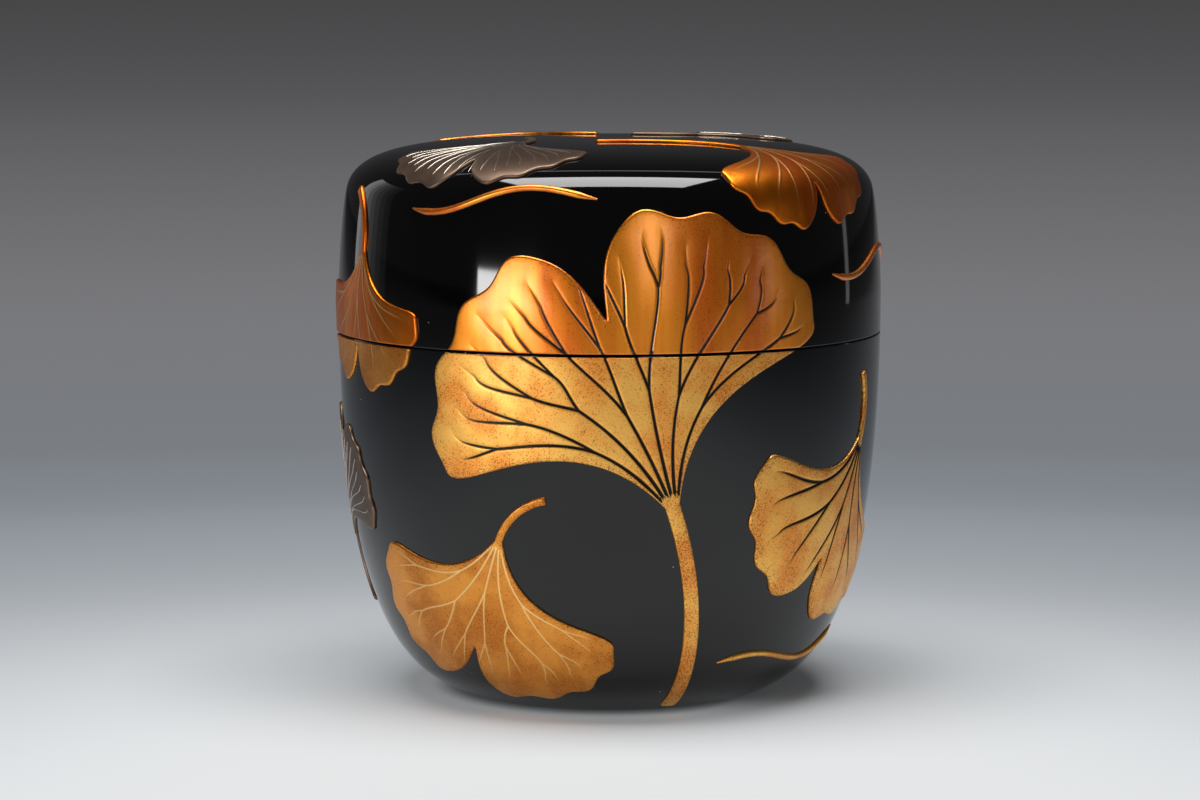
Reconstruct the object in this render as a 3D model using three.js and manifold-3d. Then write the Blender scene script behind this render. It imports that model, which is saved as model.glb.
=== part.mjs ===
// A large natsume, the turned and lacquered box that holds powdered tea.
// The body and the flush-fitting lid are turned shells. Ginkgo fans, their stalks and thin
// flowing lines are raised metal-coloured skins, each bonded to the shell that carries it,
// and a motif that crosses the seam is split there between the lid and the body.
// Lengths are in millimetres and +Z is up. The front faces -Y and the foot rests on z = 0.

import * as THREE from 'three';
import { mergeVertices } from 'three/addons/utils/BufferGeometryUtils.js';
import Module from 'manifold-3d';

const wasm = await Module();
wasm.setup();

// Driving dimensions
const diameter = 72;
const height = 73.2;
const lidHeight = 25.4;
const footDiameter = 39.6;

// Outline: where the wall is widest, where the shoulder starts, and how it leans there
const widestAboveSeam = 5.2;
const shoulderInset = 1.34;
const shoulderDrop = 5.9;
const shoulderLeanDegrees = 20;

// How far each curve of the outline runs straight on before it bends, as shares of what it spans
const footSweepShare = 0.615;
const footLiftShare = 0.052;
const bellyShare = 0.28;
const wallEaseShare = 0.16;
const shoulderRiseShare = 0.99;
const crownFlatShare = 0.644;

// Walls, mouth and foot
const rimWall = 1.5;
const upstandWall = 1.3;
const upstandHeight = 6;
const upstandHeadroom = 0.4;
const slideClearance = 0.15;
const seatClearance = 0.1;
const edgeEase = 0.15;
const bodyFloor = 4;
const lidTop = 3;
const footRingWidth = 4.2;
const footRecess = 0.8;

// Raised work: height above the lacquer, the bond line under it and its lowest reach
const reliefThickness = 0.4;
const bondLine = 0.1;
const reliefFootMargin = 1.4;

// Line widths
const greatStalkWidth = 2;
const stalkWidth = 1.1;
const streamWidth = 0.9;

// Leaves, from the joint of the stalk to the edge of the fan, their stalks and the flowing lines:
// the drawing follows the caddy, so its lengths are shares of the diameter
const greatFanShare = 0.514;
const wideFanShare = 0.333;
const middleFanShare = 0.25;
const smallFanShare = 0.18;
const greatStalkShare = 0.472;
const longStalkShare = 0.278;
const shortStalkShare = 0.125;
const longStreamShare = 0.639;
const shortStreamShare = 0.361;

// How the drawing lies on the outline: the share at which the seam cuts it, and the share that
// one radius of it climbs
const seamRiseShare = 0.48843;
const radiusRiseShare = 0.32867;

// Faceting
const turnSegments = 60;
const bodyRings = 10;
const skirtRings = 1;
const crownRings = 11;
const liningRings = 7;
const marginSteps = 28;
const sideSteps = 6;
const stalkSteps = 6;
const streamSteps = 16;

const widestRadius = diameter / 2;
const footRadius = footDiameter / 2;
const seamHeight = height - lidHeight;
const widestHeight = seamHeight + widestAboveSeam;
const rimHeight = seamHeight + seatClearance;

// Outline of the outside, from the edge of the foot to the middle of the crown
function makeOutline() {
  const foot = new THREE.Vector2(footRadius, 0);
  const widest = new THREE.Vector2(widestRadius, widestHeight);
  const shoulder = new THREE.Vector2(widestRadius - shoulderInset, height - shoulderDrop);
  const crown = new THREE.Vector2(0, height);
  const leanAngle = THREE.MathUtils.degToRad(shoulderLeanDegrees);
  const lean = new THREE.Vector2(-Math.sin(leanAngle), Math.cos(leanAngle));
  const wallEase = wallEaseShare * (shoulder.y - widest.y);
  const path = new THREE.CurvePath();
  const footSweep = footSweepShare * (widestRadius - footRadius);
  path.add(new THREE.CubicBezierCurve(
    foot,
    new THREE.Vector2(footRadius + footSweep, footLiftShare * widestHeight),
    new THREE.Vector2(widestRadius, bellyShare * widestHeight),
    widest,
  ));
  path.add(new THREE.CubicBezierCurve(
    widest,
    new THREE.Vector2(widestRadius, widestHeight + wallEase),
    shoulder.clone().addScaledVector(lean, -wallEase),
    shoulder,
  ));
  path.add(new THREE.CubicBezierCurve(
    shoulder,
    shoulder.clone().addScaledVector(lean, shoulderRiseShare * shoulderDrop),
    new THREE.Vector2(crownFlatShare * shoulder.x, height),
    crown,
  ));
  return path;
}

const outline = makeOutline();

// A point of the outline at a share of its length, moved out along the normal
function outlinePoint(share, offset = 0) {
  const point = outline.getPoint(share);
  const tangent = outline.getTangent(share);
  return point.add(new THREE.Vector2(tangent.y, -tangent.x).multiplyScalar(offset));
}

// The share of the outline at which it reaches a height; it climbs all the way
function shareAtHeight(z) {
  const halvings = 40;
  let low = 0;
  let high = 1;
  for (let halving = 0; halving < halvings; halving += 1) {
    const middle = (low + high) / 2;
    if (outline.getPoint(middle).y < z) low = middle;
    else high = middle;
  }
  return (low + high) / 2;
}

// Shares between two ends, closer together where the outline bends
function ringShares(from, to, count) {
  const samples = 240;
  const reach = [0];
  for (let i = 1; i <= samples; i += 1) {
    const before = from + ((to - from) * (i - 1)) / samples;
    const after = from + ((to - from) * i) / samples;
    const turning = outline.getTangent(before).angleTo(outline.getTangent(after));
    reach.push(reach[i - 1] + (after - before) + turning);
  }
  const shares = [];
  let i = 0;
  for (let ring = 0; ring <= count; ring += 1) {
    const goal = (reach[samples] * ring) / count;
    while (i < samples - 1 && reach[i + 1] < goal) i += 1;
    const within = (goal - reach[i]) / (reach[i + 1] - reach[i]);
    shares.push(from + ((to - from) * (i + within)) / samples);
  }
  shares[count] = to;
  return shares;
}

const widestShare = shareAtHeight(widestHeight);
const bodyShares = ringShares(0, shareAtHeight(seamHeight - edgeEase), bodyRings);
const lidShares = [
  ...ringShares(shareAtHeight(rimHeight + edgeEase), widestShare, skirtRings),
  ...ringShares(widestShare, 1, crownRings).slice(1),
];

// Radii of the mouth: lid wall, running gap, upstand wall
const seamRadius = outline.getPoint(shareAtHeight(seamHeight)).x;
const skirtRadius = seamRadius - rimWall;
const upstandRadius = skirtRadius - slideClearance;
const mouthRadius = upstandRadius - upstandWall;
const upstandTop = seamHeight + upstandHeight;

// A closed triangle mesh with shared vertices and no triangles of no area
function weld(geometry) {
  geometry.deleteAttribute('normal');
  geometry.deleteAttribute('uv');
  const merged = mergeVertices(geometry);
  const corners = merged.index.array;
  const kept = [];
  for (let i = 0; i < corners.length; i += 3) {
    const [a, b, c] = [corners[i], corners[i + 1], corners[i + 2]];
    if (a !== b && b !== c && c !== a) kept.push(a, b, c);
  }
  merged.setIndex(kept);
  return merged;
}

// A solid turned about Z from its half section of (radius, height) points
function turned(points) {
  const geometry = new THREE.LatheGeometry(points, turnSegments);
  geometry.rotateX(Math.PI / 2);
  return weld(geometry);
}

function toSolid(geometry) {
  return new wasm.Manifold(new wasm.Mesh({
    numProp: 3,
    vertProperties: new Float32Array(geometry.attributes.position.array),
    triVerts: new Uint32Array(geometry.index.array),
  }));
}

function toGeometry(solid) {
  const mesh = solid.getMesh();
  const geometry = new THREE.BufferGeometry();
  geometry.setAttribute('position', new THREE.BufferAttribute(new Float32Array(mesh.vertProperties), 3));
  geometry.setIndex(Array.from(mesh.triVerts));
  return geometry;
}

// Body: turned cup with a recessed foot, a ledge at the seam and a thin upstand for the lid
function makeBody() {
  const footRingRadius = footRadius - footRingWidth;
  const seamWall = seamRadius - mouthRadius;
  const topShare = bodyShares[bodyRings];
  const points = [
    new THREE.Vector2(0, footRecess),
    new THREE.Vector2(footRingRadius, footRecess),
    new THREE.Vector2(footRingRadius + footRecess, 0),
  ];
  for (const share of bodyShares) points.push(outlinePoint(share));
  points.push(
    new THREE.Vector2(seamRadius - edgeEase, seamHeight),
    new THREE.Vector2(upstandRadius, seamHeight),
    new THREE.Vector2(upstandRadius, upstandTop - edgeEase),
    new THREE.Vector2(upstandRadius - edgeEase, upstandTop),
    new THREE.Vector2(mouthRadius + edgeEase, upstandTop),
    new THREE.Vector2(mouthRadius, upstandTop - edgeEase),
  );
  for (const share of ringShares(0, topShare, liningRings).reverse()) {
    const wall = THREE.MathUtils.lerp(bodyFloor, seamWall, share / topShare);
    points.push(outlinePoint(share, -wall));
  }
  points.push(new THREE.Vector2(0, bodyFloor));
  return turned(points);
}

// Lid: turned cap whose skirt is rebated inside, so that it sits flush with the body
function makeLid() {
  const rebateTop = upstandTop + upstandHeadroom;
  const liningShares = ringShares(shareAtHeight(rebateTop), 1, liningRings).reverse();
  const points = [];
  for (const share of liningShares.slice(0, -1)) points.push(outlinePoint(share, -lidTop));
  points[0].x = 0;
  points.push(
    new THREE.Vector2(outlinePoint(liningShares[liningRings], -lidTop).x, rebateTop),
    new THREE.Vector2(skirtRadius, rebateTop),
    new THREE.Vector2(skirtRadius, rimHeight + edgeEase),
    new THREE.Vector2(skirtRadius + edgeEase, rimHeight),
    new THREE.Vector2(seamRadius - edgeEase, rimHeight),
  );
  for (const share of lidShares) points.push(outlinePoint(share));
  points[points.length - 1].x = 0;
  return turned(points);
}

// The skin that all raised work on one shell is cut from, lying just off the lacquer
function makeSkin(shares) {
  const under = shares.map((share) => outlinePoint(share, bondLine));
  const over = shares.map((share) => outlinePoint(share, bondLine + reliefThickness));
  const closesOnAxis = shares[shares.length - 1] === 1;
  if (closesOnAxis) {
    under[under.length - 1].x = 0;
    over[over.length - 1].x = 0;
    return toSolid(turned([...under.reverse(), ...over]));
  }
  return toSolid(turned([...over, ...under.reverse(), over[0].clone()]));
}

const lowestRelief = shareAtHeight(reliefFootMargin);
const skins = {
  body: makeSkin([lowestRelief, ...bodyShares.filter((share) => share > lowestRelief)]),
  lid: makeSkin(lidShares),
};

// Ginkgo fan: shares of its size, chosen for a broad leaf split once in the middle
const fanHalfDegrees = 63;
const notchDepthShare = 0.34;
const notchWidthShare = 0.07;
const notchSharpness = 1.3;
const notchCrowding = 1.6;
const cornerDropShare = 0.17;
const cornerSharpness = 3;
const waveShare = 0.016;
const wavesAcross = 9;
const cornerHandleShare = 0.13;
const baseHandleShare = 0.5;
const baseHandleDegrees = 24;

// The edge of the fan from -1 at one corner to 1 at the other, points crowding towards the notch
function fanEdge(size, place) {
  const across = Math.sign(place) * Math.abs(place) ** notchCrowding;
  const notch = notchDepthShare * Math.exp(-(Math.abs(across / notchWidthShare) ** notchSharpness));
  const corner = cornerDropShare * Math.abs(across) ** cornerSharpness;
  const wave = waveShare * Math.cos(wavesAcross * Math.PI * across);
  const reach = size * (1 - notch - corner + wave);
  const angle = THREE.MathUtils.degToRad(fanHalfDegrees * across);
  return new THREE.Vector2(reach * Math.sin(angle), reach * Math.cos(angle));
}

// One side of the fan, from its corner to the joint of the stalk
function fanSide(size, side, jointWidth) {
  const corner = fanEdge(size, side);
  const before = fanEdge(size, side * (1 - 1 / marginSteps));
  const onward = corner.clone().sub(before).setLength(cornerHandleShare * size);
  const rise = THREE.MathUtils.degToRad(baseHandleDegrees);
  const joint = new THREE.Vector2((side * jointWidth) / 2, 0);
  const baseHandle = new THREE.Vector2(side * Math.sin(rise), Math.cos(rise));
  const curve = new THREE.CubicBezierCurve(
    corner,
    corner.clone().add(onward),
    baseHandle.multiplyScalar(baseHandleShare * size).add(joint),
    joint,
  );
  return curve.getPoints(sideSteps);
}

// A stalk hanging from the joint as an arc; bend is the angle it turns through
function stalkSide(side, width, length, bendDegrees) {
  const bend = THREE.MathUtils.degToRad(bendDegrees);
  const points = [];
  for (let step = 1; step <= stalkSteps; step += 1) {
    const along = step / stalkSteps;
    const turn = bend * along;
    const middle = new THREE.Vector2(
      (length * (1 - Math.cos(turn))) / bend,
      (-length * Math.sin(turn)) / bend,
    );
    const half = (side * width) / 2;
    points.push(middle.add(new THREE.Vector2(Math.cos(turn), Math.sin(turn)).multiplyScalar(half)));
  }
  return points;
}

// The whole leaf as one closed outline, its joint at the origin and its fan opening up +Y
function leafOutline(size, width, length, bendDegrees) {
  const points = [];
  for (let step = 0; step <= marginSteps; step += 1) {
    points.push(fanEdge(size, -1 + (2 * step) / marginSteps));
  }
  points.push(...fanSide(size, 1, width).slice(1));
  points.push(...stalkSide(1, width, length, bendDegrees));
  points.push(...stalkSide(-1, width, length, bendDegrees).reverse());
  points.push(...fanSide(size, -1, width).slice(1).reverse());
  return points;
}

// Flowing line: width at its tips and how soon it swells, as shares of its full width
const streamTipShare = 0.25;
const streamSwellShare = 2.7;

// A thin line that flows round the wall in gentle waves, thinner at both ends
function streamOutline(length, swingShare, waves, phaseShare) {
  const middle = (along) => new THREE.Vector2(
    length * (along - 1 / 2),
    length * swingShare * Math.sin(2 * Math.PI * (waves * along + phaseShare)),
  );
  const sides = { over: [], under: [] };
  for (let step = 0; step <= streamSteps; step += 1) {
    const along = step / streamSteps;
    const ahead = middle(along + 1 / streamSteps).sub(middle(along - 1 / streamSteps)).normalize();
    const swell = Math.min(1, streamTipShare + streamSwellShare * Math.sin(Math.PI * along));
    const half = (streamWidth / 2) * swell;
    const across = new THREE.Vector2(-ahead.y, ahead.x).multiplyScalar(half);
    sides.over.push(middle(along).add(across));
    sides.under.push(middle(along).sub(across));
  }
  return [...sides.over, ...sides.under.reverse()];
}

// The point of the outline at a rise of the drawing, whose lower part fills the body's wall and
// whose upper part fills the lid
const seamShare = shareAtHeight(seamHeight);
function drawnPoint(rise) {
  const low = (seamShare * Math.max(rise, 0)) / seamRiseShare;
  const high = 1 - ((1 - seamShare) * (1 - Math.min(rise, 1))) / (1 - seamRiseShare);
  return outline.getPoint(rise < seamRiseShare ? low : high);
}

// Places a flat outline on the wall: across goes round it and up climbs the outline
function onWall(place) {
  const lean = THREE.MathUtils.degToRad(place.lean);
  const turn = THREE.MathUtils.degToRad(place.turn);
  return (flat) => {
    const moved = flat.clone().rotateAround(new THREE.Vector2(), -lean);
    const point = drawnPoint(place.riseShare + (radiusRiseShare * moved.y) / widestRadius);
    const angle = turn + moved.x / Math.max(point.x, reliefThickness);
    return new THREE.Vector3(point.x * Math.sin(angle), -point.x * Math.cos(angle), point.y);
  };
}

// Places a flat outline on the crown, spread out from its middle
function onCrown(place) {
  const lean = THREE.MathUtils.degToRad(place.lean);
  const turn = THREE.MathUtils.degToRad(place.turn);
  const reach = ((1 - place.riseShare) * widestRadius) / radiusRiseShare;
  const centre = new THREE.Vector2(reach * Math.sin(turn), -reach * Math.cos(turn));
  return (flat) => {
    const moved = flat.clone().rotateAround(new THREE.Vector2(), -lean).add(centre);
    const point = drawnPoint(1 - (radiusRiseShare * moved.length()) / widestRadius);
    const angle = Math.atan2(moved.x, -moved.y);
    return new THREE.Vector3(point.x * Math.sin(angle), -point.x * Math.cos(angle), point.y);
  };
}

// A cone of rays from inside the box through an outline on its surface, to cut a skin with
const coneReachShare = 2;
function makeCone(flatOutline, toSurface) {
  if (!THREE.ShapeUtils.isClockWise(flatOutline)) flatOutline.reverse();
  const rim = flatOutline.map(toSurface);
  const heights = rim.map((point) => point.z);
  const middleHeight = (Math.min(...heights) + Math.max(...heights)) / 2;
  const apex = new THREE.Vector3(0, 0, Math.min(middleHeight, seamHeight));
  const positions = [...apex.toArray()];
  for (const point of rim) {
    positions.push(...point.clone().sub(apex).multiplyScalar(coneReachShare).add(apex).toArray());
  }
  const corners = [];
  for (const [a, b, c] of THREE.ShapeUtils.triangulateShape(flatOutline, [])) {
    corners.push(a + 1, b + 1, c + 1);
  }
  for (let i = 0; i < rim.length; i += 1) corners.push(0, i + 1, ((i + 1) % rim.length) + 1);
  const geometry = new THREE.BufferGeometry();
  geometry.setAttribute('position', new THREE.BufferAttribute(new Float32Array(positions), 3));
  geometry.setIndex(corners);
  return toSolid(geometry);
}

// Materials
const lacquer = () => new THREE.MeshStandardMaterial({ color: 0x0a0a0b, roughness: 0.12, metalness: 0 });
const goldOnLid = () => new THREE.MeshStandardMaterial({ color: 0xb8741f, roughness: 0.3, metalness: 1 });
const goldOnBody = () => new THREE.MeshStandardMaterial({ color: 0xd19a45, roughness: 0.45, metalness: 1 });
const pewter = () => new THREE.MeshStandardMaterial({ color: 0x5a4a42, roughness: 0.45, metalness: 1 });

const caddy = new THREE.Group();
const carried = { body: new THREE.Group(), lid: new THREE.Group() };
caddy.add(carried.body, carried.lid);

function addPiece(shell, name, geometry, material) {
  const mesh = new THREE.Mesh(geometry, material);
  mesh.name = name;
  carried[shell].add(mesh);
}

addPiece('body', 'body', makeBody(), lacquer());
addPiece('lid', 'lid', makeLid(), lacquer());

// Cuts one motif out of the skin of each shell that it lies on
function addMotif(name, shells, flatOutline, toSurface, finish) {
  const cone = makeCone(flatOutline, toSurface);
  for (const shell of shells) {
    const piece = skins[shell].intersect(cone);
    const material = finish === 'pewter' ? pewter() : shell === 'lid' ? goldOnLid() : goldOnBody();
    addPiece(shell, `${shell}_${name}`, toGeometry(piece), material);
  }
}

// Leaves: turn is degrees round from the front to the right, lean is degrees from upright,
// riseShare is the share of the outline from the foot to the crown at the joint of the stalk
const bothShells = ['body', 'lid'];
const leaves = [
  { name: 'great_fan', shells: bothShells, map: onWall, turn: 13, riseShare: 0.315, lean: -20,
    sizeShare: greatFanShare, width: greatStalkWidth, stalkShare: greatStalkShare, bend: -34,
    finish: 'gold' },
  { name: 'left_fan', shells: bothShells, map: onWall, turn: -62, riseShare: 0.595, lean: -174,
    sizeShare: middleFanShare, width: stalkWidth, stalkShare: shortStalkShare, bend: 60, finish: 'gold' },
  { name: 'foot_fan', shells: ['body'], map: onWall, turn: -24, riseShare: 0.27, lean: -160,
    sizeShare: wideFanShare, width: stalkWidth, stalkShare: shortStalkShare, bend: -60, finish: 'gold' },
  { name: 'right_fan', shells: ['body'], map: onWall, turn: 66, riseShare: 0.37, lean: 205,
    sizeShare: wideFanShare, width: stalkWidth, stalkShare: shortStalkShare, bend: 50, finish: 'gold' },
  { name: 'side_fan', shells: ['body'], map: onWall, turn: -87, riseShare: 0.235, lean: 14,
    sizeShare: middleFanShare, width: stalkWidth, stalkShare: shortStalkShare, bend: 50, finish: 'pewter' },
  { name: 'back_fan', shells: bothShells, map: onWall, turn: 172, riseShare: 0.36, lean: 24,
    sizeShare: wideFanShare, width: stalkWidth, stalkShare: longStalkShare, bend: 40, finish: 'gold' },
  { name: 'far_fan', shells: ['body'], map: onWall, turn: 122, riseShare: 0.36, lean: 168,
    sizeShare: middleFanShare, width: stalkWidth, stalkShare: shortStalkShare, bend: -50,
    finish: 'pewter' },
  { name: 'low_fan', shells: ['body'], map: onWall, turn: -142, riseShare: 0.25, lean: 165,
    sizeShare: smallFanShare, width: stalkWidth, stalkShare: shortStalkShare, bend: 50, finish: 'gold' },
  { name: 'shoulder_fan', shells: ['lid'], map: onCrown, turn: 48, riseShare: 0.79, lean: 128,
    sizeShare: middleFanShare, width: stalkWidth, stalkShare: longStalkShare, bend: 50, finish: 'gold' },
  { name: 'crown_fan', shells: ['lid'], map: onCrown, turn: -40, riseShare: 0.84, lean: -152,
    sizeShare: middleFanShare, width: stalkWidth, stalkShare: shortStalkShare, bend: 50, finish: 'pewter' },
  { name: 'rear_fan', shells: ['lid'], map: onCrown, turn: -150, riseShare: 0.84, lean: -30,
    sizeShare: middleFanShare, width: stalkWidth, stalkShare: shortStalkShare, bend: 50, finish: 'gold' },
  { name: 'top_fan', shells: ['lid'], map: onCrown, turn: 130, riseShare: 0.86, lean: 60,
    sizeShare: smallFanShare, width: stalkWidth, stalkShare: shortStalkShare, bend: -50, finish: 'pewter' },
];
for (const leaf of leaves) {
  const size = leaf.sizeShare * diameter;
  const stalk = leaf.stalkShare * diameter;
  const flat = leafOutline(size, leaf.width, stalk, leaf.bend);
  addMotif(leaf.name, leaf.shells, flat, leaf.map(leaf), leaf.finish);
}

// Flowing lines, laid out like the leaves but placed by their middle
const streams = [
  { name: 'front_stream', shells: ['body'], turn: 54, riseShare: 0.11, lean: -4,
    lengthShare: shortStreamShare, swingShare: 0.06, waves: 1, phaseShare: 0.1 },
  { name: 'left_stream', shells: ['lid'], turn: -24, riseShare: 0.665, lean: -4,
    lengthShare: shortStreamShare, swingShare: 0.05, waves: 1, phaseShare: 0.6 },
  { name: 'right_stream', shells: ['lid'], turn: 73, riseShare: 0.58, lean: 0,
    lengthShare: shortStreamShare, swingShare: 0.06, waves: 1, phaseShare: 0.6 },
  { name: 'back_stream', shells: ['body'], turn: -130, riseShare: 0.43, lean: 6,
    lengthShare: shortStreamShare, swingShare: 0.06, waves: 1, phaseShare: 0.1 },
  { name: 'far_stream', shells: ['lid'], turn: -136, riseShare: 0.62, lean: -4,
    lengthShare: longStreamShare, swingShare: 0.06, waves: 1.5, phaseShare: 0.1 },
];
for (const stream of streams) {
  const length = stream.lengthShare * diameter;
  const flat = streamOutline(length, stream.swingShare, stream.waves, stream.phaseShare);
  addMotif(stream.name, stream.shells, flat, onWall(stream), 'gold');
}

export default caddy;
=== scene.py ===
import math
import random

import bpy
import numpy as np
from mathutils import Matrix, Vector, geometry, kdtree


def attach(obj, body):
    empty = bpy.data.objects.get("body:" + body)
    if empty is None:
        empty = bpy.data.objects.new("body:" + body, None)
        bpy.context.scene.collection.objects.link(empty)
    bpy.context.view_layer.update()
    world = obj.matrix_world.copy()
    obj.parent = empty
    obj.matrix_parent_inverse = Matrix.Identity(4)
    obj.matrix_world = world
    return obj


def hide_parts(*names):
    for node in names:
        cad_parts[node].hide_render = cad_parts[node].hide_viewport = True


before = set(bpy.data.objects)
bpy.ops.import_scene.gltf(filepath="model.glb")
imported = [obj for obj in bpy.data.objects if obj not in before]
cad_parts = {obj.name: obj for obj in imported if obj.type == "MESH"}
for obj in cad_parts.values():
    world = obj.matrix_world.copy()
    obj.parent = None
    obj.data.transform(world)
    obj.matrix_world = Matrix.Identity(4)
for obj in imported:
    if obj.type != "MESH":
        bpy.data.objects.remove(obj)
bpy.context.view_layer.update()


# Camera
# Standing a little above the shoulder of the caddy, half a metre in front of it, with a long
# lens, as in the photograph.
def new_object(name, data):
    """An object in the scene with its mesh, lamp or camera."""
    made = bpy.data.objects.new(name, data)
    bpy.context.scene.collection.objects.link(made)
    return made


camera_distance = 0.514
camera_height = 0.09763
camera_pitch = 0.1151
camera_yaw = 0.00248
camera_data = bpy.data.cameras.new("front_camera")
camera_data.lens = 116.36
camera_data.clip_end = 30
camera = new_object("front_camera", camera_data)
camera.location = (0, -camera_distance, camera_height)
camera.rotation_euler = (math.pi / 2 - camera_pitch, 0, camera_yaw)
bpy.context.scene.camera = camera
bpy.context.scene.view_settings.view_transform = "Standard"


# Table
# A plain pale table top. Its colour is painted light: a pool of soft light that falls off to grey further
# away, darker towards the sides and the front. The lamps light its near part, and the far part glows with
# its own painted grey. It isn't part of the object.
def linear(hex_colour):
    """An sRGB hex colour as the linear colour that a shader takes."""
    channels = [int(hex_colour[i:i + 2], 16) / 255 for i in (1, 3, 5)]
    return [c / 12.92 if c <= 0.04045 else ((c + 0.055) / 1.055) ** 2.4 for c in channels] + [1]


def add_node(tree, kind, inputs=None, **settings):
    """Adds a node with its settings, and links or sets its inputs."""
    node = tree.nodes.new(kind)
    for name, value in settings.items():
        setattr(node, name, value)
    for socket, value in (inputs or {}).items():
        if isinstance(value, bpy.types.NodeSocket):
            tree.links.new(value, node.inputs[socket])
        else:
            node.inputs[socket].default_value = value
    return node


def new_material(name):
    """A material, its empty node tree and the place on the object for its textures."""
    material = bpy.data.materials.new(name)
    material.use_nodes = True
    tree = material.node_tree
    tree.nodes.clear()
    return material, tree, add_node(tree, "ShaderNodeTexCoord").outputs["Object"]


table_radius = 14
table_sides = 128
pool_centre = (0, -0.1, 0)
pool_reach = 0.4
lit_radius = 0.12
unlit_radius = 0.36
# Shares of painted glow: in the open, and at the foot's painted shadow
room_glow_share, contact_shadow_share = 0.32, 0.05
contact_inner, contact_outer = 0.02, 0.0245
lee_centre = (0.016, 0.012, 0)
lee_inner, lee_outer = 0.022, 0.036
wedge_slope = 0.17
wedge_start, wedge_end, wedge_least = 0.15, 0.55, 0.35
front_far, front_near, front_least = -0.55, -0.2, 0.1
table_corners = [
    (table_radius * math.cos(turn), table_radius * math.sin(turn), 0)
    for turn in (2 * math.pi * i / table_sides for i in range(table_sides))
]
table_mesh = bpy.data.meshes.new("table_top")
table_mesh.from_pydata(table_corners, [], [list(range(table_sides))])
table = new_object("table_top", table_mesh)

table_material, tree, place = new_material("matt_laminate")
away = add_node(tree, "ShaderNodeVectorMath", {0: place, 1: pool_centre}, operation="DISTANCE")
beyond = add_node(tree, "ShaderNodeMath", {0: away.outputs["Value"], 1: pool_reach}, operation="ADD")
spread = add_node(tree, "ShaderNodeMath", {
    0: away.outputs["Value"], 1: beyond.outputs[0],
}, operation="DIVIDE")
pool = add_node(tree, "ShaderNodeValToRGB", {"Fac": spread.outputs[0]})
pool.color_ramp.interpolation = "CARDINAL"
# The stops paint the pool of light: pale in its middle, grey further out
painted_pool_stops = (
    (0, "#d7d8d8"), (0.18, "#d4d7d9"), (0.3, "#adb1b5"), (0.4, "#8d9299"),
    (0.47, "#7b7f84"), (0.65, "#767679"), (0.82, "#5d5d60"), (0.95, "#474748"),
)
for _ in painted_pool_stops[2:]:
    pool.color_ramp.elements.new(1)
for stop, (position, colour) in zip(pool.color_ramp.elements, painted_pool_stops):
    stop.position = position
    stop.color = linear(colour)
# Painted shade: the colour darkens towards the sides and the front
across = add_node(tree, "ShaderNodeSeparateXYZ", {0: place})
aside = add_node(tree, "ShaderNodeMath", {0: across.outputs["X"]}, operation="ABSOLUTE")
wedge = add_node(tree, "ShaderNodeMath", {
    0: across.outputs["Y"], 1: -wedge_slope, 2: aside.outputs[0],
}, operation="MULTIPLY_ADD")
painted_side_shade = add_node(tree, "ShaderNodeMapRange", {
    "Value": wedge.outputs[0], "From Min": wedge_start, "From Max": wedge_end,
    "To Min": 1, "To Max": wedge_least,
}, interpolation_type="SMOOTHSTEP")
painted_front_shade = add_node(tree, "ShaderNodeMapRange", {
    "Value": across.outputs["Y"], "From Min": front_far, "From Max": front_near,
    "To Min": front_least,
}, interpolation_type="SMOOTHSTEP")
dark = add_node(tree, "ShaderNodeMath", {
    0: painted_side_shade.outputs[0], 1: painted_front_shade.outputs[0],
}, operation="MULTIPLY")
top_colour = add_node(tree, "ShaderNodeVectorMath", {
    0: pool.outputs["Color"], "Scale": dark.outputs[0],
}, operation="SCALE").outputs["Vector"]
# A painted glow stands in for the room's own light and fills the shadow round the caddy; it is turned down
# along the line where its foot stands and in the lee of it, behind to the right, which paints a shadow
# there
from_axis = add_node(tree, "ShaderNodeVectorMath", {0: place}, operation="LENGTH")
from_lee = add_node(tree, "ShaderNodeVectorMath", {0: place, 1: lee_centre}, operation="DISTANCE")
beside_foot, beside_lee = (
    add_node(tree, "ShaderNodeMapRange", {
        "Value": distance.outputs["Value"], "From Min": inner, "From Max": outer,
        "To Min": contact_shadow_share, "To Max": room_glow_share,
    }, interpolation_type="SMOOTHSTEP")
    for distance, inner, outer in (
        (from_axis, contact_inner, contact_outer), (from_lee, lee_inner, lee_outer),
    )
)
painted_fill_share = add_node(tree, "ShaderNodeMath", {
    0: beside_foot.outputs["Result"], 1: beside_lee.outputs["Result"],
}, operation="MINIMUM")
lit = add_node(tree, "ShaderNodeMapRange", {
    "Value": away.outputs["Value"], "From Min": lit_radius, "From Max": unlit_radius,
    "To Min": painted_fill_share.outputs[0],
}, interpolation_type="SMOOTHSTEP")
matt = add_node(tree, "ShaderNodeBsdfDiffuse", {"Color": top_colour})
# Painted glow: the top shines with its painted colour, though it is no lamp
painted_glow = add_node(tree, "ShaderNodeEmission", {"Color": top_colour})
blend = add_node(tree, "ShaderNodeMixShader", {
    0: lit.outputs["Result"], 1: matt.outputs[0], 2: painted_glow.outputs[0],
})
add_node(tree, "ShaderNodeOutputMaterial", {"Surface": blend.outputs[0]})
table_mesh.materials.append(table_material)

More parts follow.
